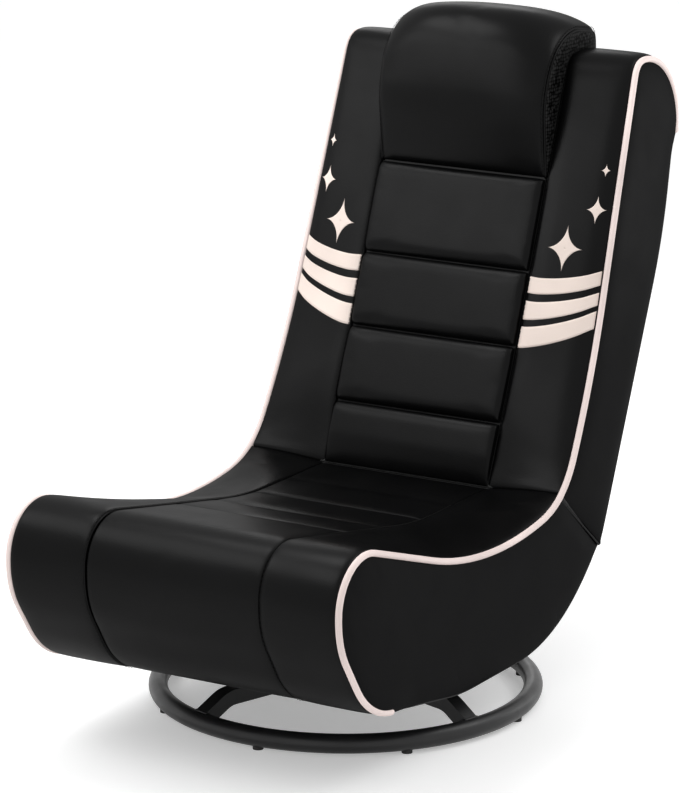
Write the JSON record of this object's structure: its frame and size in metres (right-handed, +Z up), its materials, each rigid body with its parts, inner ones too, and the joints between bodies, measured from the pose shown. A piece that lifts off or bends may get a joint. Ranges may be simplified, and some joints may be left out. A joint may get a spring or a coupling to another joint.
{
  "type": "floor gaming chair",
  "caption": "Low floor gaming chair with a padded swivel seat, fold-down backrest with channel stitching and headrest, light piping, and a round tube base.",
  "frame": {"origin": "centre of the chair's footprint on the floor", "axes": "+Z up, the sitter faces -Y, +X to the left of someone sitting in the chair"},
  "size_m": [0.5193, 0.9245, 0.8602],
  "materials": {
    "base_steel": "satin",
    "frame_steel": "satin",
    "zinc_steel": "satin",
    "ball_steel": "polished",
    "cage_nylon": "matt",
    "rubber_feet": "matt",
    "black_leather": "satin",
    "piping": "satin",
    "foam": "matt",
    "mesh": "matt",
    "lining": "matt"
  },
  "bodies": {
    "base": {"base_ring": "base_steel", "base_arm_1": "base_steel", "base_arm_2": "base_steel", "base_arm_3": "base_steel", "base_arm_4": "base_steel", "hub_plate": "base_steel", "ring_feet": "rubber_feet", "swivel_lower_plate": "zinc_steel", "swivel_rivet": "zinc_steel", "lower_bolts": "zinc_steel", "lower_nuts": "zinc_steel"},
    "bearing": {"ball_cage": "cage_nylon", "bearing_balls": "ball_steel"},
    "seat": {"hinge_nut_left": "zinc_steel", "hinge_nut_right": "zinc_steel", "hinge_pin_left": "zinc_steel", "hinge_pin_right": "zinc_steel", "mount_plate": "frame_steel", "seat_bolster_left": "black_leather", "seat_bolster_right": "black_leather", "seat_centre_panel": "black_leather", "seat_foam": "foam", "seat_frame_tube": "frame_steel", "seat_hinge_plate_left": "frame_steel", "seat_hinge_plate_right": "frame_steel", "seat_piping_left": "piping", "seat_piping_right": "piping", "seat_rail_front": "frame_steel", "seat_rail_rear": "frame_steel", "seat_rear_tube": "frame_steel", "seat_side_left": "black_leather", "seat_side_right": "black_leather", "seat_underside": "lining", "swivel_upper_plate": "zinc_steel", "upper_bolts": "zinc_steel", "upper_nuts": "zinc_steel"},
    "back": {"back_bolster_left": "black_leather", "back_bolster_right": "black_leather", "back_centre_panel": "black_leather", "back_channel_pad_1": "black_leather", "back_channel_pad_2": "black_leather", "back_channel_pad_3": "black_leather", "back_channel_pad_4": "black_leather", "back_cross_tube": "frame_steel", "back_foam": "foam", "back_frame_tube": "frame_steel", "back_hinge_plate_left": "frame_steel", "back_hinge_plate_right": "frame_steel", "back_piping_left": "piping", "back_piping_right": "piping", "back_rear_panel": "black_leather", "back_side_left": "black_leather", "back_side_right": "black_leather", "headrest_cover": "black_leather", "headrest_foam": "foam", "headrest_mesh_left": "mesh", "headrest_mesh_right": "mesh"}
  },
  "joints": [
    {"name": "swivel", "type": "hinge", "parent": "base", "child": "seat", "pos_m": [0, -0.0387, 0], "axis": [0, 0, 1], "continuous": true},
    {"name": "bearing_roll", "type": "hinge", "parent": "base", "child": "bearing", "pos_m": [0, -0.0387, 0], "axis": [0, 0, 1], "continuous": true},
    {"name": "backrest_fold", "type": "hinge", "parent": "seat", "child": "back", "pos_m": [0, 0.1163, 0.262], "axis": [1, 0, 0], "range_deg": [0, 95]}
  ],
  "couplings": [
    {"joint": "bearing_roll", "follows": "swivel", "ratio": 0.5}
  ]
}
